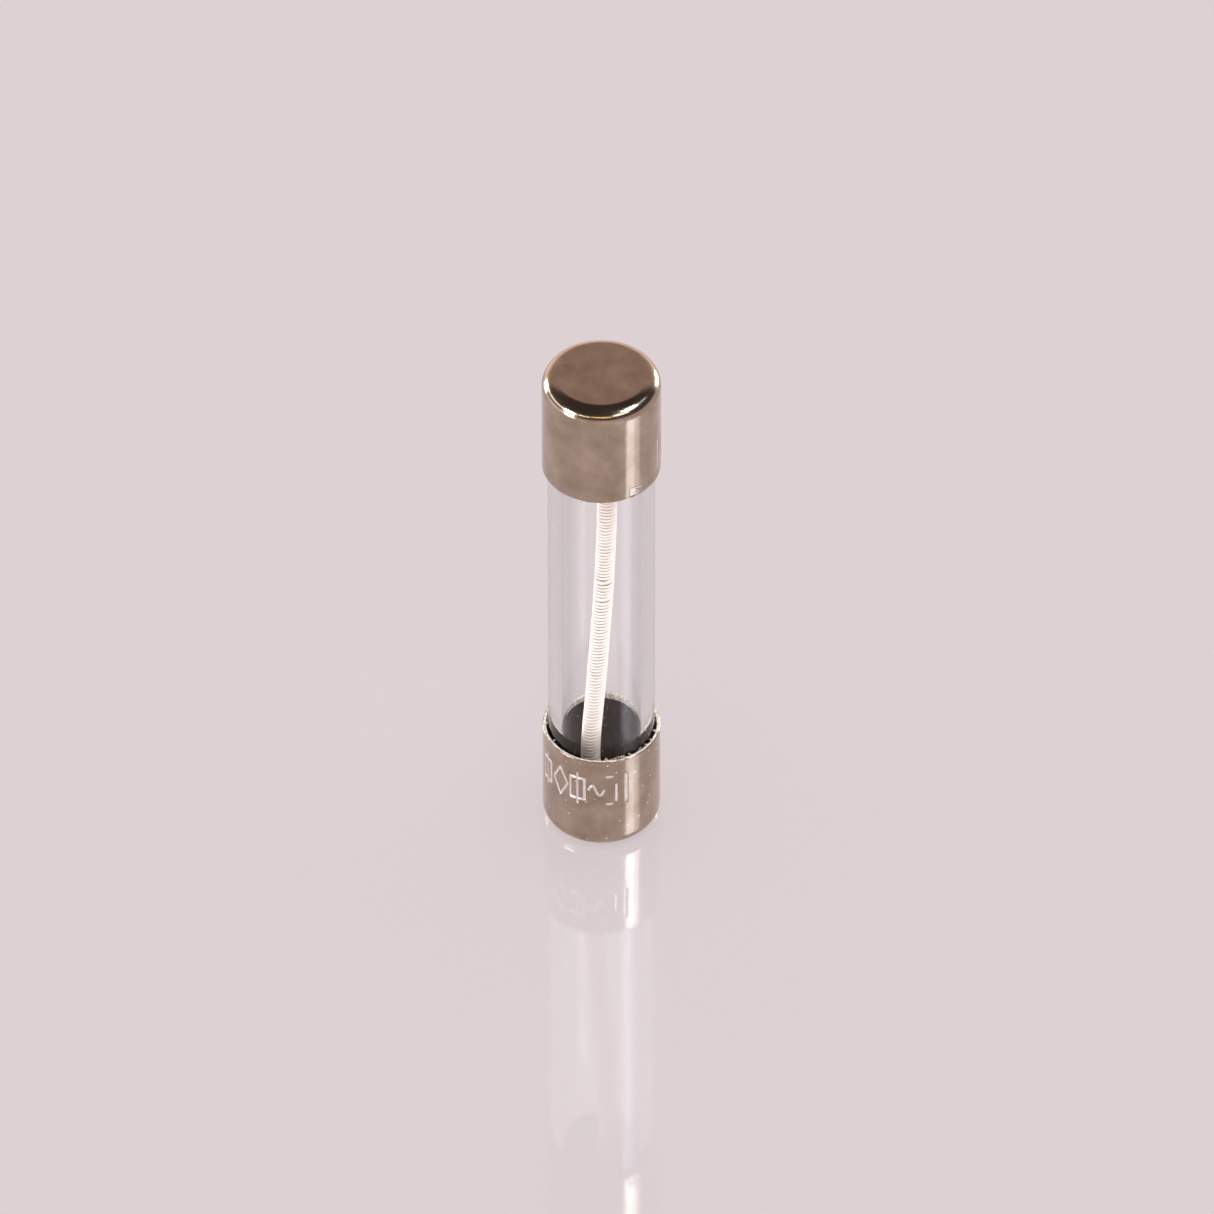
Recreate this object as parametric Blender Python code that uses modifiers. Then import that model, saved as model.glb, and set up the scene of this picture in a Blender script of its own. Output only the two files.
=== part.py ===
"""Cartridge fuse: a glass tube closed by two drawn metal caps, with a wire wound on a yarn core inside.

Metres, +Z up along the fuse, with the origin at the centre of the lower end face.
"""

import math

import bpy
from mathutils import Matrix

MM = 0.001

# The size class: 1/4 inch across the caps and 1 1/4 inch long.
FUSE_LENGTH = 31.75 * MM
CAP_RADIUS = 3.175 * MM

# End caps: drawn cups with a full outer corner.
CAP_HEIGHT = 6.4 * MM
CAP_WALL = 0.18 * MM
CAP_FLOOR = 0.25 * MM
CAP_CORNER = 0.8 * MM
CAP_RIM_ROUND = 0.06 * MM

# Glass tube: its ends stop short of the rounded corners inside the caps.
GLASS_RADIUS = 2.875 * MM
BORE_RADIUS = 2.16 * MM
GLASS_END = 0.65 * MM
GLASS_END_ROUND = 0.3 * MM

# Solder slugs: one under each end of the bore, wetting up the glass.
SOLDER_GAP = 0.03 * MM
SOLDER_LEVEL = 1.3 * MM
SOLDER_MENISCUS = 0.35 * MM
SOLDER_FOOT_RADIUS = 2.3 * MM
SOCKET_CLEARANCE = 0.05 * MM
SOCKET_BOTTOM = 0.45 * MM

# Element: its centre line, as (height, sideways offset), leans across the bore from one cap to the other.
ELEMENT_ROUTE = tuple(
    (height * MM, offset * MM)
    for height, offset in (
        (0.5, -0.62),
        (5.5, -0.56),
        (9.0, -0.33),
        (13.5, -0.05),
        (18.0, 0.18),
        (23.0, 0.31),
        (31.25, 0.34),
    )
)
ELEMENT_START = 0.55 * MM
CORE_RADIUS = 0.29 * MM
CORE_STEPS = 16
WIRE_RADIUS = 0.1 * MM
WINDING_RADIUS = 0.44 * MM
WINDING_PITCH = 0.222 * MM
WINDING_START = 0.75 * MM
WINDING_SKIPS = (15.3 * MM, 16.7 * MM)
SKIP_EXTRA = 0.16 * MM
POINTS_PER_TURN = 8

SEGMENTS = 40
ARC_STEPS = 4
MERGE = 1e-6
FLIP = Matrix.Translation((0, 0, FUSE_LENGTH)) @ Matrix.Rotation(math.pi, 4, "X")


def clear_scene():
    for obj in list(bpy.data.objects):
        bpy.data.objects.remove(obj, do_unlink=True)


def new_collection(name):
    collection = bpy.data.collections.new(name)
    bpy.context.scene.collection.children.link(collection)
    return collection


def new_material(name, colour, roughness, metallic=0.0, transmission=0.0):
    material = bpy.data.materials.new(name)
    material.use_nodes = True
    shader = material.node_tree.nodes["Principled BSDF"]
    shader.inputs["Base Color"].default_value = (*colour, 1.0)
    shader.inputs["Roughness"].default_value = roughness
    shader.inputs["Metallic"].default_value = metallic
    shader.inputs["Transmission Weight"].default_value = transmission
    return material


def arc(centre, radius, start, end, steps=ARC_STEPS):
    """Points (r, z) along an arc, with its angles in degrees from +r towards +z."""
    angles = (math.radians(start + (end - start) * i / steps) for i in range(steps + 1))
    return [(centre[0] + radius * math.cos(a), centre[1] + radius * math.sin(a)) for a in angles]


def turned(name, outline, material, collection, closed=False):
    """A solid turned round Z from an outline of (r, z) points that runs down its outer side."""
    mesh = bpy.data.meshes.new(name)
    points = [(r, 0.0, z) for r, z in outline]
    edges = [(i, i + 1) for i in range(len(points) - 1)]
    if closed:
        edges.append((len(points) - 1, 0))
    mesh.from_pydata(points, edges, [])
    mesh.materials.append(material)
    obj = bpy.data.objects.new(name, mesh)
    collection.objects.link(obj)
    screw = obj.modifiers.new("turn", "SCREW")
    screw.steps = SEGMENTS
    screw.render_steps = SEGMENTS
    screw.use_merge_vertices = True
    screw.merge_threshold = MERGE
    screw.use_smooth_shade = True
    return obj


def cap_outline():
    """Lower cap: over the inner floor, up the inner wall, over the rim and down the outer wall."""
    inner_radius = CAP_RADIUS - CAP_WALL
    inner_corner = CAP_CORNER - CAP_WALL
    rim_centre = CAP_HEIGHT - CAP_RIM_ROUND
    outline = [(0.0, CAP_FLOOR)]
    outline += arc((inner_radius - inner_corner, CAP_FLOOR + inner_corner), inner_corner, -90, 0)
    outline += arc((inner_radius + CAP_RIM_ROUND, rim_centre), CAP_RIM_ROUND, 180, 90, 2)
    outline += arc((CAP_RADIUS - CAP_RIM_ROUND, rim_centre), CAP_RIM_ROUND, 90, 0, 2)
    outline += arc((CAP_RADIUS - CAP_CORNER, CAP_CORNER), CAP_CORNER, 0, -90, 6)
    outline += [(0.0, 0.0)]
    return outline


def make_end_caps(collection, nickel):
    turned("end_cap_bottom", cap_outline(), nickel, collection)
    turned("end_cap_top", cap_outline(), nickel, collection).matrix_world = FLIP


def make_glass_tube(collection, glass):
    low = GLASS_END + GLASS_END_ROUND
    high = FUSE_LENGTH - low
    outer = GLASS_RADIUS - GLASS_END_ROUND
    inner = BORE_RADIUS + GLASS_END_ROUND
    outline = arc((inner, high), GLASS_END_ROUND, 180, 90)
    outline += arc((outer, high), GLASS_END_ROUND, 90, 0)
    outline += arc((outer, low), GLASS_END_ROUND, 0, -90)
    outline += arc((inner, low), GLASS_END_ROUND, -90, -180)
    turned("glass_tube", outline, glass, collection, closed=True)


def element_offset(height):
    """Sideways offset of the element's centre line at a height, smooth through the route's points."""
    route = ELEMENT_ROUTE
    if height <= route[0][0]:
        return route[0][1]
    for i, (start, end) in enumerate(zip(route, route[1:])):
        if height <= end[0]:
            before = route[max(i - 1, 0)]
            after = route[min(i + 2, len(route) - 1)]
            span = end[0] - start[0]
            slope_in = (end[1] - before[1]) / (end[0] - before[0])
            slope_out = (after[1] - start[1]) / (after[0] - start[0])
            t = (height - start[0]) / span
            return (
                (2 * t**3 - 3 * t**2 + 1) * start[1]
                + (t**3 - 2 * t**2 + t) * span * slope_in
                + (3 * t**2 - 2 * t**3) * end[1]
                + (t**3 - t**2) * span * slope_out
            )
    return route[-1][1]


def wire_curve(name, points, radius, resolution, material, collection):
    """A tube along a POLY spline, with flat closed ends."""
    curve = bpy.data.curves.new(name, "CURVE")
    curve.dimensions = "3D"
    curve.twist_mode = "Z_UP"
    curve.bevel_depth = radius
    curve.bevel_resolution = resolution
    curve.use_fill_caps = True
    spline = curve.splines.new("POLY")
    spline.points.add(len(points) - 1)
    for slot, point in zip(spline.points, points):
        slot.co = (*point, 1.0)
    curve.materials.append(material)
    obj = bpy.data.objects.new(name, curve)
    collection.objects.link(obj)
    return obj


def make_core_yarn(collection, yarn):
    rise = (FUSE_LENGTH - 2 * ELEMENT_START) / CORE_STEPS
    heights = [ELEMENT_START + rise * i for i in range(CORE_STEPS + 1)]
    points = [(element_offset(z), 0.0, z) for z in heights]
    wire_curve("core_yarn", points, CORE_RADIUS, 2, yarn, collection)


def winding_height(turn):
    """Height of the wire after this many turns: an even pitch, with a skip at each of two places."""
    height = WINDING_START + WINDING_PITCH * turn
    for skip in WINDING_SKIPS:
        past = (height - skip) / WINDING_PITCH
        height += SKIP_EXTRA * min(max(past + 0.5, 0.0), 1.0)
    return height


def make_fuse_wire(collection, tinned):
    wound = FUSE_LENGTH - 2 * WINDING_START - len(WINDING_SKIPS) * SKIP_EXTRA
    count = int(wound / WINDING_PITCH) * POINTS_PER_TURN
    points = []
    for i in range(count + 1):
        turn = i / POINTS_PER_TURN
        height = winding_height(turn)
        angle = 2 * math.pi * turn
        x = element_offset(height) + WINDING_RADIUS * math.cos(angle)
        points.append((x, WINDING_RADIUS * math.sin(angle), height))
    wire_curve("fuse_wire", points, WIRE_RADIUS, 0, tinned, collection)


def solder_outline():
    """Lower slug: a level pool that wets up the glass, and a foot under the end of the glass."""
    side = BORE_RADIUS - SOLDER_GAP
    foot_top = GLASS_END - SOLDER_GAP
    base = CAP_FLOOR + SOLDER_GAP
    wetted = SOLDER_LEVEL + SOLDER_MENISCUS
    outline = [(0.0, SOLDER_LEVEL)]
    outline += arc((side - SOLDER_MENISCUS, wetted), SOLDER_MENISCUS, -90, -20)
    outline += [(side, wetted), (side, foot_top), (SOLDER_FOOT_RADIUS, foot_top)]
    outline += [(SOLDER_FOOT_RADIUS, base), (0.0, base)]
    return outline


def make_socket_cutter(name, offset, collection):
    """The hole that the end of the element sits in, for the lower slug."""
    bpy.ops.mesh.primitive_cylinder_add(
        vertices=16,
        radius=WINDING_RADIUS + WIRE_RADIUS + SOCKET_CLEARANCE,
        depth=2 * SOLDER_LEVEL,
        location=(offset, 0.0, SOCKET_BOTTOM + SOLDER_LEVEL),
    )
    cutter = bpy.context.object
    cutter.name = name
    cutter.display_type = "WIRE"
    cutter.hide_render = True
    for owner in list(cutter.users_collection):
        owner.objects.unlink(cutter)
    collection.objects.link(cutter)
    return cutter


def make_solder(parts, cutters, solder):
    for end, height, matrix in (
        ("bottom", ELEMENT_START, Matrix.Identity(4)),
        ("top", FUSE_LENGTH - ELEMENT_START, FLIP),
    ):
        slug = turned(f"solder_{end}", solder_outline(), solder, parts)
        cutter = make_socket_cutter(f"socket_{end}", element_offset(height), cutters)
        slug.matrix_world = matrix
        bpy.context.view_layer.update()
        cutter.matrix_world = matrix @ cutter.matrix_world
        cut = slug.modifiers.new("socket", "BOOLEAN")
        cut.operation = "DIFFERENCE"
        cut.solver = "EXACT"
        cut.object = cutter


def main():
    clear_scene()
    parts = new_collection("cartridge_fuse")
    cutters = new_collection("cutters")
    nickel = new_material("nickel_plate", (0.48, 0.42, 0.37), 0.28, metallic=1.0)
    glass = new_material("clear_glass", (0.95, 0.97, 0.97), 0.02, transmission=1.0)
    yarn = new_material("glass_fibre_yarn", (0.86, 0.83, 0.79), 0.8)
    tinned = new_material("tinned_wire", (0.82, 0.79, 0.77), 0.35, metallic=1.0)
    solder = new_material("soft_solder", (0.42, 0.40, 0.38), 0.45, metallic=1.0)
    make_end_caps(parts, nickel)
    make_glass_tube(parts, glass)
    make_core_yarn(parts, yarn)
    make_fuse_wire(parts, tinned)
    make_solder(parts, cutters, solder)


main()
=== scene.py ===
# %% [markdown]
# # A glass cartridge fuse
# The fuse is a glass tube closed by two drawn metal cups. A thin wire, wound in close turns round a yarn
# of glass fibre, runs from one cup to the other and melts when too much current flows. Every piece is
# small and round, so most of them are turned: one outline, spun about the long axis, gives the whole
# shape. The lesson goes from the outside in: camera and light, then caps, glass, winding, core and solder.

import math
import random

import bmesh
import bpy
import numpy as np
from mathutils import Matrix, Vector, noise


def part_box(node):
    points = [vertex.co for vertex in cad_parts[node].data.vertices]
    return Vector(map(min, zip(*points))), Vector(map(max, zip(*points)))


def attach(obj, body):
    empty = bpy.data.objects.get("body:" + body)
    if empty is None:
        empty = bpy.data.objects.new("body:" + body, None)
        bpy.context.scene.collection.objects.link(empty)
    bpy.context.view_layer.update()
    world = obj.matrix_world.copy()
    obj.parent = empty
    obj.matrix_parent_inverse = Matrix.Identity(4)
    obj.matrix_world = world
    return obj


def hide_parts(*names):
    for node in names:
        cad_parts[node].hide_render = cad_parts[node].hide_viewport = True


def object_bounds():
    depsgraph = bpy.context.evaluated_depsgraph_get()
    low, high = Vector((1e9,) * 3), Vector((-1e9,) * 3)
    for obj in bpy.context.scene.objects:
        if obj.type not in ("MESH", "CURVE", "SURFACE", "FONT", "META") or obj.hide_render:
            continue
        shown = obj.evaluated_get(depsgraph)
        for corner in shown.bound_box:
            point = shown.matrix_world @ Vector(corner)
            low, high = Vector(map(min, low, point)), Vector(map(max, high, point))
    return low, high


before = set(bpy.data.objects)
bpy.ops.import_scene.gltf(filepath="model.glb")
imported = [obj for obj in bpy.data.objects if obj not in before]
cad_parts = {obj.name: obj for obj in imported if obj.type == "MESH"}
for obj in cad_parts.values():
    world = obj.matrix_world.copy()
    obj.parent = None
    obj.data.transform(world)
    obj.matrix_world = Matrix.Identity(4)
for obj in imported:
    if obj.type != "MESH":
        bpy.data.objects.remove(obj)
cad_low, cad_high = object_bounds()
LENGTH = cad_high[2] - cad_low[2]
print("the fuse is", round(LENGTH * 1000, 2), "mm long, with", len(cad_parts), "pieces")

# %% [markdown]
# ## Units and small tools
# Blender counts in metres, and this object is a few millimetres across, so every size is written as a
# number times MM. Colours are picked as the hex values a painter would mix on screen. The shader wants
# them linear, and one function turns them. Another adds a shader node, sets it and links it in one call.

# %% Units and colours
MM = 0.001
BODY = "root"


def linear(hex_colour):
    """An sRGB hex value such as "#DCCFCF" as the linear colour that shaders use."""
    channels = [int(hex_colour[i : i + 2], 16) / 255 for i in (1, 3, 5)]
    curve = [c / 12.92 if c <= 0.04045 else ((c + 0.055) / 1.055) ** 2.4 for c in channels]
    return (*curve, 1.0)


print("mid grey #808080 is linear", round(linear("#808080")[0], 3))


# %% Shader nodes
def add_node(tree, kind, values=None, links=None, **settings):
    """Adds a shader node: settings are its properties, values its sockets, links what feeds a socket."""
    node = tree.nodes.new("ShaderNode" + kind)
    for name, value in settings.items():
        setattr(node, name, value)
    for socket, value in (values or {}).items():
        node.inputs[socket].default_value = value
    for socket, source in (links or {}).items():
        tree.links.new(source, node.inputs[socket])
    return node


def new_tree(owner):
    """An empty node tree on a material, world or light, with its output node."""
    owner.use_nodes = True
    owner.node_tree.nodes.clear()
    return owner.node_tree


def color_ramp(tree, factor, stops):
    """Adds a Color Ramp with these (position, colour) stops."""
    ramp = add_node(tree, "ValToRGB", links={0: factor})
    elements = ramp.color_ramp.elements
    while len(elements) < len(stops):
        elements.new(1.0)
    for element, (position, colour) in zip(elements, stops):
        element.position = position
        element.color = colour
    return ramp.outputs[0]


def surface(tree, values, links=None):
    """Adds the surface shader of a material and wires it to the output."""
    shader = add_node(tree, "BsdfPrincipled", values=values, links=links)
    add_node(tree, "OutputMaterial", links={"Surface": shader.outputs[0]})


print("a node takes its values, its links and its settings in one call")

# %% [markdown]
# ## The camera
# A long lens far away keeps the two caps almost the same size, as a macro lens does. It looks down at
# the fuse from a little under 45 degrees, so the top cap shows both its end face and its side.

# %% Place the camera
CAMERA_ELEVATION = math.radians(42.9)
CAMERA_DISTANCE = 1.0
CAMERA_LENS = 553.0
AIM_ASIDE = 0.3 * MM
AIM_HEIGHT = 0.469 * LENGTH

camera_data = bpy.data.cameras.new("camera")
camera_data.lens = CAMERA_LENS
camera_data.clip_start = 0.05
camera_data.clip_end = 50.0
camera = bpy.data.objects.new("camera", camera_data)
bpy.context.scene.collection.objects.link(camera)
aim = Vector((AIM_ASIDE, 0.0, cad_low[2] + AIM_HEIGHT))
away = Vector((0.0, -math.cos(CAMERA_ELEVATION), math.sin(CAMERA_ELEVATION)))
camera.location = aim + CAMERA_DISTANCE * away
camera.rotation_euler = (math.pi / 2 - CAMERA_ELEVATION, 0.0, 0.0)
bpy.context.scene.camera = camera
bpy.context.scene.view_settings.view_transform = "Standard"
print("camera", round(CAMERA_DISTANCE * 1000), "mm from the aim point, lens", CAMERA_LENS, "mm")

# %% [markdown]
# ## The floor
# The fuse stands on a sheet of polished opal acrylic, lit evenly from below, so it casts almost no
# shadow. A polished sheet also shows a faint mirror image of what stands on it, because it reflects about
# one twentieth of the light at this angle. One disc, metres wide, fills the background from every side.


# %% Turn a mesh into an object
def mesh_object(name, bm, materials, smooth=True):
    """Turns a finished bmesh into an object at the origin, with its place in its mesh."""
    mesh = bpy.data.meshes.new(name)
    for face in bm.faces:
        face.smooth = smooth
    bm.to_mesh(mesh)
    bm.free()
    for material in materials:
        mesh.materials.append(material)
    obj = bpy.data.objects.new(name, mesh)
    bpy.context.scene.collection.objects.link(obj)
    print(f"{name}: {len(mesh.vertices)} vertices, {len(mesh.polygons)} faces")
    return obj


# %% Mix the acrylic and lay the floor
FLOOR_RADIUS = 4000 * MM
# The floor lies this far under the fuse, so that the two faces never coincide.
FLOOR_DROP = 0.004 * MM


def polished_acrylic():
    """Polished opal acrylic: a hard gloss over a milky sheet that glows evenly with light from below."""
    material = bpy.data.materials.new("polished_opal_acrylic")
    tree = new_tree(material)
    surface(
        tree,
        values={
            "Base Color": linear("#7B7779"),
            "Roughness": 0.04,
            "IOR": 1.49,
            "Emission Color": linear("#DCCFD1"),
            "Emission Strength": 0.715,
        },
    )
    return material


bm = bmesh.new()
bmesh.ops.create_circle(bm, cap_ends=True, segments=96, radius=FLOOR_RADIUS)
bmesh.ops.translate(bm, verts=bm.verts, vec=(0.0, 0.0, cad_low[2] - FLOOR_DROP))
floor = mesh_object("acrylic_floor", bm, [polished_acrylic()], smooth=False)

# %% [markdown]
# ## The light
# Metal shows what is around it, so the surroundings are designed as well as the lamps. A wide soft light
# from above lights everything matt, and is kept out of reflections. What the metal sees is a dark room
# with a pale horizon, a warm wall beyond the fuse, and soft boxes placed where their highlights should
# fall on the rounded corners. Each soft box is given by the direction that it comes from.


# %% Build the room
def build_room():
    """World colours by direction: Z is the height above the horizon, and Y tells the far side."""
    world = bpy.data.worlds.new("studio_room")
    bpy.context.scene.world = world
    tree = new_tree(world)
    direction = add_node(tree, "TexCoord").outputs["Generated"]
    axes = add_node(tree, "SeparateXYZ", links={0: direction})
    near = color_ramp(
        tree,
        axes.outputs["Z"],
        [
            (0.00, (0.12, 0.10, 0.09, 1.0)),
            (0.20, (0.10, 0.08, 0.072, 1.0)),
            (1.00, (0.07, 0.056, 0.05, 1.0)),
        ],
    )
    far = color_ramp(
        tree,
        axes.outputs["Z"],
        [
            (0.00, (1.40, 1.20, 1.02, 1.0)),
            (0.20, (1.00, 0.82, 0.70, 1.0)),
            (0.45, (0.54, 0.41, 0.375, 1.0)),
            (0.72, (0.50, 0.38, 0.35, 1.0)),
            (0.80, (0.08, 0.064, 0.057, 1.0)),
        ],
    )
    side = add_node(
        tree,
        "MapRange",
        values={"From Min": 0.40, "From Max": 0.66},
        links={"Value": axes.outputs["Y"]},
        interpolation_type="SMOOTHSTEP",
    )
    both = add_node(
        tree,
        "MixRGB",
        links={"Fac": side.outputs[0], "Color1": near, "Color2": far},
    )
    # The room is there to be mirrored: only a quarter of it lights matt surfaces.
    kind_of_ray = add_node(tree, "LightPath")
    share = add_node(
        tree,
        "MapRange",
        values={"To Min": 1.0, "To Max": 0.25},
        links={"Value": kind_of_ray.outputs["Is Diffuse Ray"]},
    )
    background = add_node(
        tree,
        "Background",
        links={"Color": both.outputs[0], "Strength": share.outputs[0]},
    )
    add_node(tree, "OutputWorld", links={"Surface": background.outputs[0]})


build_room()
print("room ready: pale horizon, warm wall beyond, dark above")

# %% Lamps by direction
LAMP_DISTANCE = 1400 * MM


def direction_of(azimuth, elevation):
    """Unit vector towards a direction: azimuth 0 is the camera's side, and 90 is towards +X."""
    a, e = math.radians(azimuth), math.radians(elevation)
    return Vector((math.sin(a) * math.cos(e), -math.cos(a) * math.cos(e), math.sin(e)))


def add_soft_box(name, azimuth, elevation, wide, tall, radiance, colour="#FFFFFF"):
    """A rectangular lamp that only shows in reflections, with its width and height in degrees."""
    lamp = bpy.data.lights.new(name, "AREA")
    lamp.shape = "RECTANGLE"
    lamp.size = 2 * LAMP_DISTANCE * math.tan(math.radians(wide / 2))
    lamp.size_y = 2 * LAMP_DISTANCE * math.tan(math.radians(tall / 2))
    lamp.color = linear(colour)[:3]
    lamp.energy = radiance * math.pi * lamp.size * lamp.size_y
    obj = bpy.data.objects.new(name, lamp)
    bpy.context.scene.collection.objects.link(obj)
    towards = direction_of(azimuth, elevation)
    obj.location = LAMP_DISTANCE * towards
    obj.rotation_euler = towards.to_track_quat("Z", "Y").to_euler()
    obj.visible_diffuse = False


def add_overhead_light(strength, spread):
    """Soft light from the whole ceiling, for matt surfaces only."""
    sun = bpy.data.lights.new("ceiling", "SUN")
    sun.energy = strength
    sun.angle = math.radians(spread)
    obj = bpy.data.objects.new("ceiling", sun)
    bpy.context.scene.collection.objects.link(obj)
    obj.visible_glossy = False


print("the camera looks from", tuple(round(v, 2) for v in direction_of(0, 42.9)))

# %% Hang the lamps
add_overhead_light(strength=3.0, spread=150)
# The boxes on the right are mirrored in the floor, and that image draws the upright streak on the caps.
add_soft_box("box_right", 58, 44, wide=13, tall=15, radiance=28, colour="#E8F0FF")
add_soft_box("box_right_second", 72.5, 44, wide=9, tall=15, radiance=14, colour="#E8F0FF")
add_soft_box("box_right_wings", 64, 42, wide=60, tall=8, radiance=2, colour="#CFD6FF")
# Low boxes to the left and behind make the bright spots on the rounded corner of the top cap.
add_soft_box("box_left", -58, 13, wide=19, tall=19, radiance=16, colour="#EEF2FF")
add_soft_box("glow_left", -92, 14, wide=46, tall=8, radiance=2.2)
add_soft_box("strip_back_left", -125, 9, wide=16, tall=14, radiance=12)
add_soft_box("strip_back_right", 136, 5, wide=18, tall=12, radiance=16)
# Weak, warm ones in front draw the thin bright line along the corner.
add_soft_box("glow_front", 0, 25, wide=32, tall=6, radiance=2.6, colour="#FFE29A")
add_soft_box("glow_front_left", -31, 21, wide=20, tall=6, radiance=3.5, colour="#FFF3D8")
add_soft_box("glow_front_right", 37, 30, wide=26, tall=7, radiance=4.5, colour="#FFF6E6")

# %% [markdown]
# ## The end caps
# Each cap is a cup drawn from thin brass sheet and plated with nickel. Drawing leaves a full round outer
# corner, a plain cylindrical wall and a cut rim. It could be a cylinder with a bevel, but turning an
# outline gives the wall, the inner corner and the rim in one go. Rows of faces are packed closely where
# the rating is stamped, so that the stamping can be pressed in as real grooves.

# %% Measure the caps
cap_low, cap_high = (Vector(corner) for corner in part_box("end_cap_bottom"))
CAP_RADIUS = (cap_high.x - cap_low.x) / 2
CAP_HEIGHT = cap_high.z - cap_low.z
CAP_WALL = 0.18 * MM
CAP_FLOOR = 0.25 * MM
CAP_CORNER = 0.8 * MM
RIM_ROUND = 0.06 * MM
CAP_SEGMENTS = 512
print("cap", round(2 * CAP_RADIUS / MM, 2), "mm across and", round(CAP_HEIGHT / MM, 2), "mm long")


# %% Spin an outline
def arc(centre, radius, start, end, steps):
    """Points (r, z) along an arc, angles in degrees from +r towards +z."""
    angles = [math.radians(start + (end - start) * i / steps) for i in range(steps + 1)]
    return [(centre[0] + radius * math.cos(a), centre[1] + radius * math.sin(a)) for a in angles]


def straight(start, end, spacing):
    """Points (r, z) along a straight line, about this far apart, without its first point."""
    run = math.dist(start, end)
    steps = max(1, round(run / spacing))
    return [tuple(a + (b - a) * i / steps for a, b in zip(start, end)) for i in range(1, steps + 1)]


def spin_outline(outline, segments, closed=False):
    """A bmesh turned about Z from (r, z) points. Poles and the seam are merged, and faces point out."""
    bm = bmesh.new()
    verts = [bm.verts.new((r, 0.0, z)) for r, z in outline]
    pairs = list(zip(verts, verts[1:]))
    if closed:
        pairs.append((verts[-1], verts[0]))
    edges = [bm.edges.new(pair) for pair in pairs]
    bmesh.ops.spin(
        bm,
        geom=verts + edges,
        cent=(0, 0, 0),
        axis=(0, 0, 1),
        angle=2 * math.pi,
        steps=segments,
        use_merge=True,
    )
    bmesh.ops.remove_doubles(bm, verts=bm.verts, dist=0.0005 * MM)
    bmesh.ops.recalc_face_normals(bm, faces=bm.faces)
    return bm


print("a quarter arc in 8 steps has", len(arc((0, 0), CAP_CORNER, 0, 90, 8)), "points")

# %% Outline of a cap
STAMP_HALF_HEIGHT = 1.25 * MM
ROW_SPACING = 0.042 * MM
PAINTED_LIGHT_STRIP = 0.38 * MM


def cap_outline(stamp_centre):
    """Cup, mouth up: from the middle of its inner floor over the rim to the middle of its end face."""
    inner = CAP_RADIUS - CAP_WALL
    inner_corner = CAP_CORNER - CAP_WALL
    rim = CAP_HEIGHT - RIM_ROUND
    band_top = stamp_centre + STAMP_HALF_HEIGHT
    band_foot = stamp_centre - STAMP_HALF_HEIGHT
    outline = [(0.0, CAP_FLOOR)]
    outline += arc((inner - inner_corner, CAP_FLOOR + inner_corner), inner_corner, -90, 0, 8)
    outline += straight(outline[-1], (inner, CAP_HEIGHT - PAINTED_LIGHT_STRIP), 1.0 * MM)
    outline += straight(outline[-1], (inner, rim), 0.1 * MM)
    outline += arc((inner + RIM_ROUND, rim), RIM_ROUND, 180, 90, 4)[1:]
    outline += arc((CAP_RADIUS - RIM_ROUND, rim), RIM_ROUND, 90, 0, 4)
    outline += straight(outline[-1], (CAP_RADIUS, band_top), ROW_SPACING)
    outline += straight(outline[-1], (CAP_RADIUS, band_foot), ROW_SPACING)
    outline += straight(outline[-1], (CAP_RADIUS, CAP_CORNER), 0.3 * MM)
    outline += arc((CAP_RADIUS - CAP_CORNER, CAP_CORNER), CAP_CORNER, 0, -90, 14)[1:]
    outline += straight(outline[-1], (0.0, 0.0), 0.6 * MM)
    return outline


print("the outline of a cap has", len(cap_outline(CAP_HEIGHT / 2)), "points")

# %% [markdown]
# ## The stamping
# A real fuse has its rating stamped into the cap. Here generic signs stand in its place: the drawing sign
# of a fuse, which is a box with a line through it, a wave for alternating current, a diamond and plain
# bars. Each sign is a few strokes on the unrolled wall, with across and up in millimetres, and a vertex
# that lies near a stroke moves in by the depth of the punch.


# %% Draw the signs
def fuse_sign(across, up):
    """Upright box with a line through it, centred at (across, up)."""
    w, h, tail = 0.42, 0.75, 0.33
    corners = [(-w, -h), (w, -h), (w, h), (-w, h), (-w, -h)]
    box = [(across + x, up + y) for x, y in corners]
    line = [(across, up - h - tail), (across, up + h + tail)]
    return [box, line]


def diamond_sign(across, up):
    """A tall diamond."""
    corners = [(0, -1.0), (0.5, 0), (0, 1.0), (-0.5, 0), (0, -1.0)]
    return [[(across + x, up + y) for x, y in corners]]


def wave_sign(across, up):
    """One period of a wave."""
    steps = 14
    width, height = 0.85, 0.36
    wave = [(t / steps - 0.5, math.sin(2 * math.pi * t / steps)) for t in range(steps + 1)]
    return [[(across + width * x, up + height * y) for x, y in wave]]


def level_sign(across, up):
    """Two short level bars, one far above the other."""
    return [[(across - 0.17, up + y), (across + 0.17, up + y)] for y in (-1.0, 1.0)]


def bar_sign(across, up):
    """Two upright bars of different length, side by side."""
    return [
        [(across - 0.3, up - 0.8), (across - 0.3, up + 0.4)],
        [(across + 0.25, up - 1.0), (across + 0.25, up + 1.0)],
    ]


def signs_at(across, up):
    """The whole row of signs, with its right-hand end at across."""
    strokes = fuse_sign(across - 5.1, up)
    strokes += diamond_sign(across - 3.9, up)
    strokes += fuse_sign(across - 2.8, up)
    strokes += wave_sign(across - 1.75, up)
    strokes += level_sign(across - 1.0, up)
    strokes += bar_sign(across - 0.3, up)
    return strokes


print("the row of signs has", len(signs_at(0.0, 0.0)), "strokes")

# %% Press strokes into a wall
STROKE_HALF_WIDTH = 0.09 * MM
STROKE_DEPTH = 0.055 * MM


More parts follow.
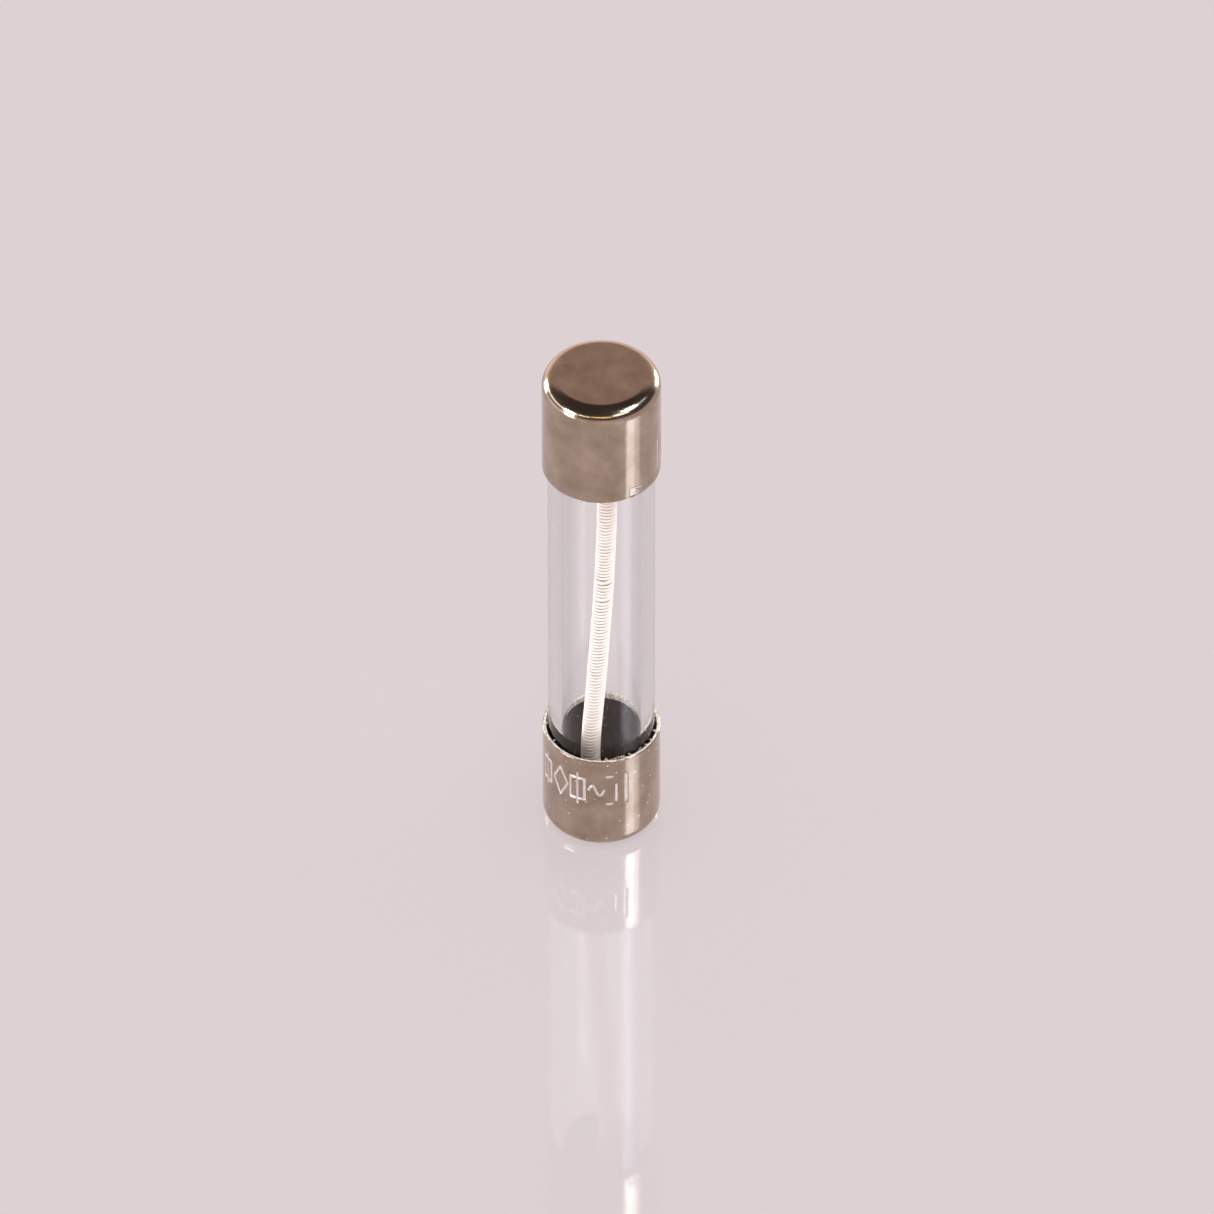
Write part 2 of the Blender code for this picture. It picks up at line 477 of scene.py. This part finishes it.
def distance_to(strokes, points):
    """Distance from each (across, up) point to the nearest stroke, in the points' unit."""
    nearest = np.full(len(points), np.inf)
    for stroke in strokes:
        for a, b in zip(stroke, stroke[1:]):
            start = np.array(a)
            run = np.array(b) - start
            share = np.clip((points - start) @ run / (run @ run), 0, 1)
            offset = points - start - share[:, None] * run
            nearest = np.minimum(nearest, np.linalg.norm(offset, axis=1))
    return nearest


def stamp(bm, strokes):
    """Presses the strokes into the outer wall of a cap."""
    on_wall = 0.001 * MM
    wall = [v for v in bm.verts if abs(math.hypot(v.co.x, v.co.y) - CAP_RADIUS) < on_wall]
    around = [CAP_RADIUS * math.atan2(v.co.x, -v.co.y) for v in wall]
    points = np.array([(s / MM, v.co.z / MM) for s, v in zip(around, wall)])
    share = np.clip(distance_to(strokes, points) * MM / STROKE_HALF_WIDTH, 0, 1)
    depth = STROKE_DEPTH * (1 - share**2) ** 2
    for vert, sink in zip(wall, depth):
        vert.co.xy *= 1 - sink / CAP_RADIUS
    print("stamped", int((depth > 0).sum()), "of", len(wall), "wall vertices")


print("a stroke is", round(2 * STROKE_HALF_WIDTH / MM, 2), "mm wide")

# %% [markdown]
# ## Finishes of the caps
# Nickel plate is a warm grey metal. Over drawn brass it is never a mirror: the sheet keeps a fine grain
# that blurs what it reflects, and fine draw lines run along the wall. Inside the cup the faces are painted
# dark as shade, rougher, with splashes of flux. The floors of the punch marks are painted near white as
# highlights, and the rim and a strip inside it on the far side are painted pale as light. Every pattern is
# laid out on Object coordinates in real millimetres.


# %% Patterns in millimetres
def object_coordinates(tree, scale_mm, stretch=(1.0, 1.0, 1.0)):
    """Object coordinates scaled so that one unit of pattern is scale_mm long."""
    place = add_node(tree, "TexCoord").outputs["Object"]
    factor = 1 / (scale_mm * MM)
    scale = tuple(factor * s for s in stretch)
    return add_node(tree, "Mapping", values={"Scale": scale}, links={"Vector": place}).outputs[0]


def noise_pattern(tree, scale_mm, stretch=(1.0, 1.0, 1.0), detail=2.0, roughness=0.5):
    """Cloudy noise from 0 to 1, in patches of about scale_mm."""
    place = object_coordinates(tree, scale_mm, stretch)
    values = {"Scale": 1.0, "Detail": detail, "Roughness": roughness}
    return add_node(tree, "TexNoise", values=values, links={"Vector": place}).outputs[0]


def bumped(tree, height, strength, depth_mm):
    """A surface normal that follows a height pattern, as a relief of depth_mm."""
    values = {"Strength": strength, "Distance": depth_mm * MM}
    return add_node(tree, "Bump", values=values, links={"Height": height}).outputs[0]


def splashed(tree, colour, spacing_mm):
    """Scatters dots of dried flux over a colour: each is about a fifth as wide as they are apart."""
    cells = add_node(
        tree,
        "TexVoronoi",
        values={"Scale": 1.0, "Randomness": 1.0},
        links={"Vector": object_coordinates(tree, spacing_mm)},
    )
    dots = color_ramp(tree, cells.outputs["Distance"], [(0.075, (1, 1, 1, 1)), (0.11, (0, 0, 0, 1))])
    mixed = add_node(
        tree,
        "MixRGB",
        values={"Color2": linear("#F4E9DC")},
        links={"Fac": dots, "Color1": colour},
    )
    return mixed.outputs[0]


print("a pattern is scaled so that one of its units is a length in millimetres")


# %% Mix the nickel
def nickel_plate(name, splash_mm):
    """Nickel plate over drawn brass: warm grey, softly blurred by a satin grain, with splashes of flux."""
    material = bpy.data.materials.new(name)
    tree = new_tree(material)
    cloud = noise_pattern(tree, 1.6, detail=4.0, roughness=0.6)
    tint = color_ramp(tree, cloud, [(0.32, linear("#A3927F")), (0.68, linear("#BFAD9C"))])
    colour = splashed(tree, tint, splash_mm) if splash_mm else tint
    grain = noise_pattern(tree, 0.12, detail=3.0, roughness=0.7)
    draw_lines = noise_pattern(tree, 0.35, (1.0, 1.0, 0.06), detail=2.0)
    roughness = add_node(
        tree,
        "MapRange",
        values={"From Min": 0.3, "From Max": 0.7, "To Min": 0.1, "To Max": 0.19},
        links={"Value": grain},
    )
    relief = add_node(tree, "Math", links={0: grain, 1: draw_lines}, operation="ADD")
    bump = bumped(tree, relief.outputs[0], strength=0.35, depth_mm=0.004)
    surface(
        tree,
        values={"Metallic": 1.0},
        links={"Base Color": colour, "Roughness": roughness.outputs[0], "Normal": bump},
    )
    return material


# Flux boiled out of the mouth of the bottom cap, so only its plate is splashed.
PLATE_TOP = nickel_plate("nickel_plated_brass_clean", splash_mm=0.0)
PLATE_BOTTOM = nickel_plate("nickel_plated_brass_splashed", splash_mm=0.62)
print("plates:", PLATE_TOP.name, "and", PLATE_BOTTOM.name)


# %% Mix the other finishes
def patchy_finish(name, low, high, scale_mm, roughness, bump_mm, metallic=1.0, splash_mm=0.0):
    """Two tones in patches of scale_mm, one roughness, and a relief of bump_mm.
    A splash_mm above zero scatters dots of dried flux over it, about that far apart."""
    material = bpy.data.materials.new(name)
    tree = new_tree(material)
    patches = noise_pattern(tree, scale_mm, detail=5.0, roughness=0.65)
    tones = color_ramp(tree, patches, [(0.35, linear(low)), (0.65, linear(high))])
    colour = splashed(tree, tones, splash_mm) if splash_mm else tones
    bump = bumped(tree, patches, strength=0.6, depth_mm=bump_mm)
    surface(
        tree,
        values={"Metallic": metallic, "Roughness": roughness},
        links={"Base Color": colour, "Normal": bump},
    )
    return material


# The plate inside the cup, coloured dark as painted shade: dark, dull and uneven, with splashes of flux.
INSIDE_PAINTED_SHADE = patchy_finish("plate_inside_painted_shade", "#1A0F0B", "#5A443A", 0.5, 0.45, 0.02, splash_mm=0.5)
# Painted highlight: the floor of a punch mark is coloured near white, brighter than the wall, so it shows as
# a bright line.
PUNCH_PAINTED_HIGHLIGHT = patchy_finish("punched_nickel_painted_highlight", "#EFE7E0", "#FFFBF8", 0.3, 0.3, 0.004, metallic=0.5)
# Where the rim was rolled over the glass, the plate has worn through to the brass in a few flecks.
WORN_BRASS = patchy_finish("worn_brass", "#9A7430", "#F6DE96", 0.1, 0.3, 0.01)
# Flux dries to a brittle resin, brown where it is thick and creamy where it has crazed.
DRIED_FLUX = patchy_finish("dried_flux", "#3F281A", "#F6E4C8", 0.07, 0.45, 0.01, metallic=0.0)
# The cut rim is rough metal that scatters the lamps, coloured pale as a painted highlight. A strip under it,
# inside on the far side only, takes the same pale tone as painted light.
CUT_RIM_PAINTED_LIGHT = patchy_finish("cut_rim_and_painted_light", "#B4967C", "#FFFAF2", 0.2, 0.5, 0.03, metallic=0.25)
FINISHES = [INSIDE_PAINTED_SHADE, PUNCH_PAINTED_HIGHLIGHT, CUT_RIM_PAINTED_LIGHT, WORN_BRASS, DRIED_FLUX]
print("finishes:", ", ".join(finish.name for finish in FINISHES))

# %% [markdown]
# ## Rim, wear and flux
# The rim is sheared, not turned, so it wanders a little and keeps a few burrs. Each face of a cap then
# gets its finish by where it lies and which way it faces. Last come crumbs of dried flux in the gap
# between the rim and the glass: small lumps with a few faces each.

# %% Roughen the rim
RIM_WANDER = 0.03 * MM
BURR_HEIGHT = 0.2 * MM
BURR_START = 0.35
WANDER_WAVES = 6
BURR_WAVES = 60


def noise_round(angle, waves, seed):
    """Noise that closes on itself round the axis, with about this many waves."""
    return noise.noise(Vector((math.cos(angle) * waves, math.sin(angle) * waves, seed)))


def roughen_rim(bm, seed):
    """Lifts the rim by a slow wander and, at a few places, by a burr."""
    soft = 1.5 * RIM_ROUND
    for vert in bm.verts:
        share = (vert.co.z - (CAP_HEIGHT - soft)) / soft
        if share > 0:
            angle = math.atan2(vert.co.x, -vert.co.y)
            burr = max(0.0, noise_round(angle, BURR_WAVES, seed) - BURR_START)
            wander = noise_round(angle, WANDER_WAVES, seed)
            vert.co.z += share * (RIM_WANDER * wander + BURR_HEIGHT * burr)


print("the rim wanders by up to", round(RIM_WANDER / MM, 3), "mm")

# %% Give each face its finish
WORN_STRIP = 0.3 * MM
WORN_PATCH = 0.11 * MM
WORN_LEVEL = 0.42


def assign_finishes(bm):
    """0 plate, 1 inside with painted shade, 2 floor of the strokes with a painted highlight, 3 rim and
    far-side strip with painted light, 4 worn brass.
    """
    for face in bm.faces:
        middle = face.calc_center_median()
        radius = math.hypot(middle.x, middle.y)
        outward = (face.normal.x * middle.x + face.normal.y * middle.y) / max(radius, 0.001 * MM)
        outside = outward > 0.3 or face.normal.z < -0.3
        if not outside:
            on_rim = middle.z > CAP_HEIGHT - 1.1 * RIM_ROUND
            # Painted light: a strip inside under the rim, on the far side only, takes the pale finish.
            up_the_wall = middle.z > CAP_HEIGHT - PAINTED_LIGHT_STRIP and middle.y > 0.4 * CAP_RADIUS
            # Painted shade: every inside face takes the dark finish, except the rim and the far-side strip.
            face.material_index = 3 if on_rim or up_the_wall else 1
        elif CAP_CORNER < middle.z < CAP_HEIGHT - 2 * RIM_ROUND:
            # Painted highlight: the floor of each punch mark takes the near-white finish.
            face.material_index = 2 if radius < CAP_RADIUS - 0.3 * STROKE_DEPTH else 0
            near_rim = middle.z > CAP_HEIGHT - WORN_STRIP
            if near_rim and noise.noise(middle / WORN_PATCH) > WORN_LEVEL:
                face.material_index = 4


print("brass shows in flecks within", round(WORN_STRIP / MM, 1), "mm of a rim")


# %% Scatter crumbs of flux
def add_crumbs(bm, count, seed):
    """Crumbs of dried flux in the gap between rim and glass, half of them gathered to one side."""
    draw = random.Random(seed)
    in_gap = CAP_RADIUS - CAP_WALL - 0.05 * MM
    for number in range(count):
        angle = draw.gauss(0.35, 0.35) if number % 2 else draw.uniform(-math.pi, math.pi)
        size = draw.uniform(0.035, 0.075) * MM
        height = CAP_HEIGHT + draw.uniform(-0.12, 0.08) * MM
        place = Matrix.Translation((in_gap * math.sin(angle), -in_gap * math.cos(angle), height))
        lump = bmesh.ops.create_icosphere(bm, subdivisions=1, radius=size, matrix=place)
        for face in {face for vert in lump["verts"] for face in vert.link_faces}:
            face.material_index = 5


print("a crumb is 0.07 to 0.15 mm across")


# %% Make the two caps
def turn_over(bm):
    """Turns a piece made for the bottom end over, onto the top end."""
    turn = Matrix.Translation((0, 0, LENGTH)) @ Matrix.Rotation(math.pi, 4, "X")
    bmesh.ops.transform(bm, matrix=turn, verts=bm.verts)


def make_cap(name, node, plate, stamp_centre, signs_end, seed, flipped, marks=(), crumbs=0):
    """One cap with its stamping, rim and finishes. The row of signs ends at signs_end mm round the wall."""
    bm = spin_outline(cap_outline(stamp_centre), CAP_SEGMENTS)
    stamp(bm, signs_at(signs_end, stamp_centre / MM) + list(marks))
    roughen_rim(bm, seed)
    bm.normal_update()
    assign_finishes(bm)
    add_crumbs(bm, crumbs, seed)
    if flipped:
        turn_over(bm)
    cap = mesh_object(name, bm, [plate, *FINISHES])
    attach(cap, BODY)
    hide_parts(node)


# The crimping tool left one hooked nick at the rim of the top cap: four strokes side by side and a fifth
# that runs off to one side. Its floor takes the same near-white painted highlight as the strokes.
CRIMP_MARKS = [[(across, 6.4), (across, 5.78)] for across in (8.06, 8.15, 8.24, 8.33)]
CRIMP_MARKS.append([(8.33, 5.78), (7.7, 5.9)])
BOTTOM_STAMP = 4.3 * MM
TOP_STAMP = 4.75 * MM

make_cap("cap_shell_bottom", "end_cap_bottom", PLATE_BOTTOM, BOTTOM_STAMP, 1.45, 1, False, crumbs=64)
make_cap("cap_shell_top", "end_cap_top", PLATE_TOP, TOP_STAMP, 6.1, 5, True, marks=CRIMP_MARKS)

# %% [markdown]
# ## The glass tube
# The tube is cut from drawn glass and its ends are melted round in a flame. Clear glass is nearly
# invisible from the front, so its look comes from the wall: seen near its sides, light is turned back
# inside the wall and draws two soft upright bands. That only happens if both faces of the wall are there.


# %% Mix the glass
def clear_glass():
    """Drawn soda-lime glass, index 1.52, tinted a little darker where it is seen edge-on, as painted shade.
    Light from the lamps passes through it to the inside."""
    material = bpy.data.materials.new("drawn_soda_lime_glass")
    tree = new_tree(material)
    grazing = add_node(tree, "LayerWeight", values={"Blend": 0.35})
    # Painted shade: the glass is tinted darker where it is seen edge-on, which darkens the two bands near
    # its sides.
    bands = [(0.22, "#FDFDFD"), (0.36, "#EFEFEF"), (0.42, "#E1E1E1"), (0.55, "#E6E6E6")]
    stops = [(facing, linear(tone)) for facing, tone in bands]
    edge_painted_shade = color_ramp(tree, grazing.outputs["Facing"], stops)
    shader = add_node(
        tree,
        "BsdfPrincipled",
        values={
            "Roughness": 0.0,
            "IOR": 1.52,
            "Transmission Weight": 1.0,
            "Specular Tint": linear("#B9ACA3"),
        },
        links={"Base Color": edge_painted_shade},
    )
    open_to_lamps = add_node(tree, "BsdfTransparent", values={"Color": linear("#F2F4F3")})
    path = add_node(tree, "LightPath")
    mix = add_node(
        tree,
        "MixShader",
        links={
            0: path.outputs["Is Shadow Ray"],
            1: shader.outputs[0],
            2: open_to_lamps.outputs[0],
        },
    )
    add_node(tree, "OutputMaterial", links={"Surface": mix.outputs[0]})
    return material


GLASS = clear_glass()
print("glass:", GLASS.name)

# %% Turn the tube
glass_low, glass_high = (Vector(corner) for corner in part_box("glass_tube"))
GLASS_RADIUS = (glass_high.x - glass_low.x) / 2
BORE_RADIUS = 2.16 * MM
GLASS_END_ROUND = 0.3 * MM
GLASS_SEGMENTS = 256


def glass_outline():
    """The wall of the tube as a closed loop: up round the top end, down the outside and back up the bore."""
    high = glass_high.z - GLASS_END_ROUND
    low = glass_low.z + GLASS_END_ROUND
    inner = BORE_RADIUS + GLASS_END_ROUND
    outer = GLASS_RADIUS - GLASS_END_ROUND
    outline = arc((inner, high), GLASS_END_ROUND, 180, 90, 8)
    outline += arc((outer, high), GLASS_END_ROUND, 90, 0, 8)
    outline += straight(outline[-1], (GLASS_RADIUS, low), 2.0 * MM)
    outline += arc((outer, low), GLASS_END_ROUND, 0, -90, 8)[1:]
    outline += arc((inner, low), GLASS_END_ROUND, -90, -180, 8)
    outline += straight(outline[-1], (BORE_RADIUS, high), 2.0 * MM)[:-1]
    return outline


bm = spin_outline(glass_outline(), GLASS_SEGMENTS, closed=True)
glass = mesh_object("glass_tube_drawn", bm, [GLASS])
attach(glass, BODY)
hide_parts("glass_tube")

# %% [markdown]
# ## The element
# The element is held only at its ends, in the solder, and it is slightly longer than the space between
# them, so it leans across the bore in a gentle curve. Its centre line is a smooth curve through a few
# heights. The winding starts as a straight coil: one small circle, spun round once while it is lifted,
# makes a turn, and turns are stacked. Then every vertex is carried sideways onto the centre line.

# %% Lay the centre line
ELEMENT_ROUTE = tuple(
    (height * MM, offset * MM)
    for height, offset in (
        (0.5, -0.62),
        (5.5, -0.56),
        (9.0, -0.33),
        (13.5, -0.05),
        (18.0, 0.18),
        (23.0, 0.31),
        (31.25, 0.34),
    )
)


def element_offset(height):
    """Sideways offset of the element's centre line at a height, smooth through the route's points."""
    route = ELEMENT_ROUTE
    if height <= route[0][0]:
        return route[0][1]
    for i, (start, end) in enumerate(zip(route, route[1:])):
        if height <= end[0]:
            before = route[max(i - 1, 0)]
            after = route[min(i + 2, len(route) - 1)]
            span = end[0] - start[0]
            slope_in = (end[1] - before[1]) / (end[0] - before[0])
            slope_out = (after[1] - start[1]) / (after[0] - start[0])
            t = (height - start[0]) / span
            return (
                (2 * t**3 - 3 * t**2 + 1) * start[1]
                + (t**3 - 2 * t**2 + t) * span * slope_in
                + (3 * t**2 - 2 * t**3) * end[1]
                + (t**3 - t**2) * span * slope_out
            )
    return route[-1][1]


lean = element_offset(LENGTH) - element_offset(0)
print("the element leans", round(lean / MM, 2), "mm across the bore")


# %% Spin a coil
def spin_coil(radius, wire_radius, pitch, turns, sides, steps_per_turn, phase=0.0):
    """A straight coil up the Z axis: one turn is spun from a circle, then stacked and welded."""
    turn = bmesh.new()
    circle = bmesh.ops.create_circle(turn, segments=sides, radius=wire_radius)["verts"]
    stand = Matrix.Rotation(math.pi / 2, 4, "X")
    bmesh.ops.transform(turn, matrix=Matrix.Translation((radius, 0, 0)) @ stand, verts=circle)
    bmesh.ops.rotate(turn, verts=circle, cent=(0, 0, 0), matrix=Matrix.Rotation(phase, 3, "Z"))
    bmesh.ops.spin(
        turn,
        geom=circle + list(turn.edges),
        cent=(0, 0, 0),
        axis=(0, 0, 1),
        dvec=(0, 0, pitch / steps_per_turn),
        angle=2 * math.pi,
        steps=steps_per_turn,
    )
    one_turn = bpy.data.meshes.new("one_turn")
    turn.to_mesh(one_turn)
    turn.free()
    coil = bmesh.new()
    for _ in range(math.ceil(turns)):
        coil.from_mesh(one_turn)
        one_turn.transform(Matrix.Translation((0, 0, pitch)))
    bpy.data.meshes.remove(one_turn)
    bmesh.ops.remove_doubles(coil, verts=coil.verts, dist=0.002 * MM)
    bmesh.ops.holes_fill(coil, edges=[e for e in coil.edges if e.is_boundary])
    bmesh.ops.recalc_face_normals(coil, faces=coil.faces)
    return coil


print("a coil is one turn, stacked as often as it is wound")

# %% Mix the tinned wire
# Heights above an end: painted shade, where the wire goes into a cap, begins at the first and is full below
# the second.
SHADE_STARTS_AT = 6.8 * MM
FULL_SHADE_BELOW = 4.7 * MM


def tinned_wire():
    """Tinned copper wire: soft tin dulls to a pale, milky silver. Towards both ends, inside the caps, it is
    painted darker as shade.
    """
    material = bpy.data.materials.new("tinned_copper_wire")
    tree = new_tree(material)
    spread = noise_pattern(tree, 0.25, detail=3.0)
    tin = color_ramp(tree, spread, [(0.3, linear("#FAE7DB")), (0.7, linear("#FFF1E8"))])
    axes = add_node(tree, "SeparateXYZ", links={0: add_node(tree, "TexCoord").outputs["Object"]})
    from_middle = add_node(
        tree,
        "Math",
        values={1: LENGTH / 2},
        links={0: axes.outputs["Z"]},
        operation="SUBTRACT",
    )
    either_way = add_node(tree, "Math", links={0: from_middle.outputs[0]}, operation="ABSOLUTE")
    end_shade = add_node(
        tree,
        "MapRange",
        values={"From Min": LENGTH / 2 - SHADE_STARTS_AT, "From Max": LENGTH / 2 - FULL_SHADE_BELOW},
        links={"Value": either_way.outputs[0]},
    )
    # Painted shade: near both ends the wire's colour is mixed towards a darker tone.
    colour = add_node(
        tree,
        "MixRGB",
        values={"Color2": linear("#BBA699")},
        links={"Fac": end_shade.outputs[0], "Color1": tin},
    )
    surface(
        tree,
        values={"Metallic": 0.12, "Roughness": 0.5},
        links={"Base Color": colour.outputs[0]},
    )
    return material


TINNED_WIRE = tinned_wire()
print("wire:", TINNED_WIRE.name)

# %% Wind the wire
WIRE_RADIUS = 0.067 * MM
WINDING_RADIUS = 0.47 * MM
WINDING_PITCH = 0.222 * MM
WINDING_START = 0.75 * MM
# A hand-fed winding is never even: it skips twice, and it wavers in height and in width.
WINDING_SKIPS = (15.95 * MM, 17.3 * MM)
SKIP_EXTRA = 0.16 * MM
WAVER = 0.018 * MM
WAVER_LENGTH = 0.9 * MM
WOBBLE_SHARE = 0.012
WOBBLE_LENGTH = 0.5 * MM
WIRE_SIDES = 10
STEPS_PER_TURN = 28


def winding_height(height):
    """Where a height on the even coil ends up: it opens at each skip and wavers a little elsewhere."""
    lifted = height
    for skip in WINDING_SKIPS:
        past = (lifted - skip) / WINDING_PITCH
        lifted += SKIP_EXTRA * min(max(past + 0.5, 0.0), 1.0)
    return lifted + WAVER * noise.noise(Vector((0.0, 0.0, lifted / WAVER_LENGTH)))


wound_length = LENGTH - 2 * WINDING_START - len(WINDING_SKIPS) * SKIP_EXTRA
winding_turns = int(wound_length / WINDING_PITCH)
bm = spin_coil(WINDING_RADIUS, WIRE_RADIUS, WINDING_PITCH, winding_turns, WIRE_SIDES, STEPS_PER_TURN)
for vert in bm.verts:
    vert.co.z = winding_height(vert.co.z + WINDING_START)
    wobble = noise.noise(Vector((vert.co.z / WOBBLE_LENGTH, 7.0, 0.0)))
    vert.co.xy *= 1 + WOBBLE_SHARE * wobble
    vert.co.x += element_offset(vert.co.z)
winding = mesh_object("fuse_wire_winding", bm, [TINNED_WIRE])
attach(winding, BODY)
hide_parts("fuse_wire")
print("the wire makes", winding_turns, "turns")

# %% [markdown]
# ## The core
# The wire is wound on a yarn of glass fibre, which stays put when the wire melts. A yarn is strands
# twisted together, and the same spun coil makes one: a fat wire on a small radius with a long pitch.
# Three of them, a third of a turn apart, make the yarn.


# %% Mix the glass fibre
def glass_fibre():
    """Glass-fibre yarn: many fine white filaments side by side, so it is matt with a slight silky sheen."""
    material = bpy.data.materials.new("glass_fibre_yarn")
    tree = new_tree(material)
    # Filaments are about 0.01 mm thick; they are drawn at 0.05 mm so that they show.
    filaments = noise_pattern(tree, 0.05, (1.0, 1.0, 0.08), detail=3.0, roughness=0.7)
    colour = color_ramp(tree, filaments, [(0.3, linear("#B0A398")), (0.7, linear("#D2C7BD"))])
    bump = bumped(tree, filaments, strength=0.6, depth_mm=0.01)
    surface(
        tree,
        values={"Roughness": 0.62, "Sheen Weight": 0.2},
        links={"Base Color": colour, "Normal": bump},
    )
    return material


GLASS_FIBRE = glass_fibre()
print("yarn:", GLASS_FIBRE.name)

# %% Twist the yarn
core_low, core_high = (Vector(corner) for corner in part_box("core_yarn"))
STRAND_COUNT = 3
STRAND_RADIUS = 0.19 * MM
STRAND_ORBIT = 0.2 * MM
STRAND_SIDES = 14
STEPS_PER_TWIST = 24
TWISTS = 13
twist_length = (core_high.z - core_low.z) / TWISTS
yarn = bmesh.new()
for number in range(STRAND_COUNT):
    phase = 2 * math.pi * number / STRAND_COUNT
    bm = spin_coil(
        STRAND_ORBIT, STRAND_RADIUS, twist_length, TWISTS, STRAND_SIDES, STEPS_PER_TWIST, phase
    )
    strand = bpy.data.meshes.new("strand")
    bm.to_mesh(strand)
    bm.free()
    yarn.from_mesh(strand)
    bpy.data.meshes.remove(strand)
for vert in yarn.verts:
    vert.co.z += core_low.z
    vert.co.x += element_offset(vert.co.z)
core = mesh_object("core_yarn_strands", yarn, [GLASS_FIBRE])
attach(core, BODY)
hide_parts("core_yarn")

# %% [markdown]
# ## The solder
# A bead of solder melts in the bottom of each cap and joins the end of the element to it. Liquid solder
# wets the glass and the wire, so its surface climbs a little at both and lies flat between.


# %% Mix the solder
def soft_solder():
    """Tin solder under a film of flux: grey metal, wavy where it froze, with duller patches."""
    material = bpy.data.materials.new("soft_solder")
    tree = new_tree(material)
    waves = noise_pattern(tree, 0.7, detail=4.0)
    colour = color_ramp(tree, waves, [(0.35, linear("#5F5953")), (0.65, linear("#A39C94"))])
    roughness = add_node(
        tree,
        "MapRange",
        values={"From Min": 0.3, "From Max": 0.7, "To Min": 0.3, "To Max": 0.55},
        links={"Value": waves},
    )
    bump = bumped(tree, waves, strength=0.5, depth_mm=0.03)
    surface(
        tree,
        values={"Metallic": 1.0},
        links={"Base Color": colour, "Roughness": roughness.outputs[0], "Normal": bump},
    )
    return material


SOLDER = soft_solder()
print("solder:", SOLDER.name)

# %% Pour the solder
SOLDER_LEVEL = 1.3 * MM
SOLDER_MENISCUS = 0.35 * MM
SOLDER_GAP = 0.03 * MM
SOLDER_FOOT_RADIUS = 2.3 * MM
SOLDER_SEGMENTS = 96
# How far the surface climbs the wire, how soon it falls away from it, and how wavy it froze.
WIRE_CLIMB = 0.3 * MM
CLIMB_REACH = 0.2 * MM
FROZEN_WAVE = 0.05 * MM
FROZEN_WAVE_LENGTH = 0.8 * MM
ELEMENT_END = 0.5 * MM


def solder_outline():
    """A slug from the middle of its surface, over its rim, down inside the glass to a foot under it."""
    side = BORE_RADIUS - SOLDER_GAP
    foot_top = glass_low.z - SOLDER_GAP
    base = CAP_FLOOR + SOLDER_GAP
    up_the_wall = SOLDER_LEVEL + SOLDER_MENISCUS
    outline = [(0.0, SOLDER_LEVEL)]
    outline += straight(outline[-1], (side - SOLDER_MENISCUS, SOLDER_LEVEL), 0.12 * MM)
    outline += arc((side - SOLDER_MENISCUS, up_the_wall), SOLDER_MENISCUS, -90, -15, 8)[1:]
    outline += [(side, up_the_wall), (side, foot_top), (SOLDER_FOOT_RADIUS, foot_top)]
    outline += [(SOLDER_FOOT_RADIUS, base), (0.0, base)]
    return outline


def make_solder(name, node, height, flipped):
    """One slug of solder. Its surface rises round the element, which stands at an offset from the axis."""
    bm = spin_outline(solder_outline(), SOLDER_SEGMENTS)
    offset = element_offset(height)
    for vert in bm.verts:
        if vert.co.z > SOLDER_LEVEL - 0.001 * MM:
            away_from_wire = math.hypot(vert.co.x - offset, vert.co.y) - WINDING_RADIUS
            vert.co.z += WIRE_CLIMB * math.exp(-max(away_from_wire, 0.0) / CLIMB_REACH)
            vert.co.z += FROZEN_WAVE * noise.noise(vert.co / FROZEN_WAVE_LENGTH)
    if flipped:
        turn_over(bm)
    slug = mesh_object(name, bm, [SOLDER])
    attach(slug, BODY)
    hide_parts(node)


make_solder("solder_slug_bottom", "solder_bottom", ELEMENT_END, flipped=False)
make_solder("solder_slug_top", "solder_top", LENGTH - ELEMENT_END, flipped=True)
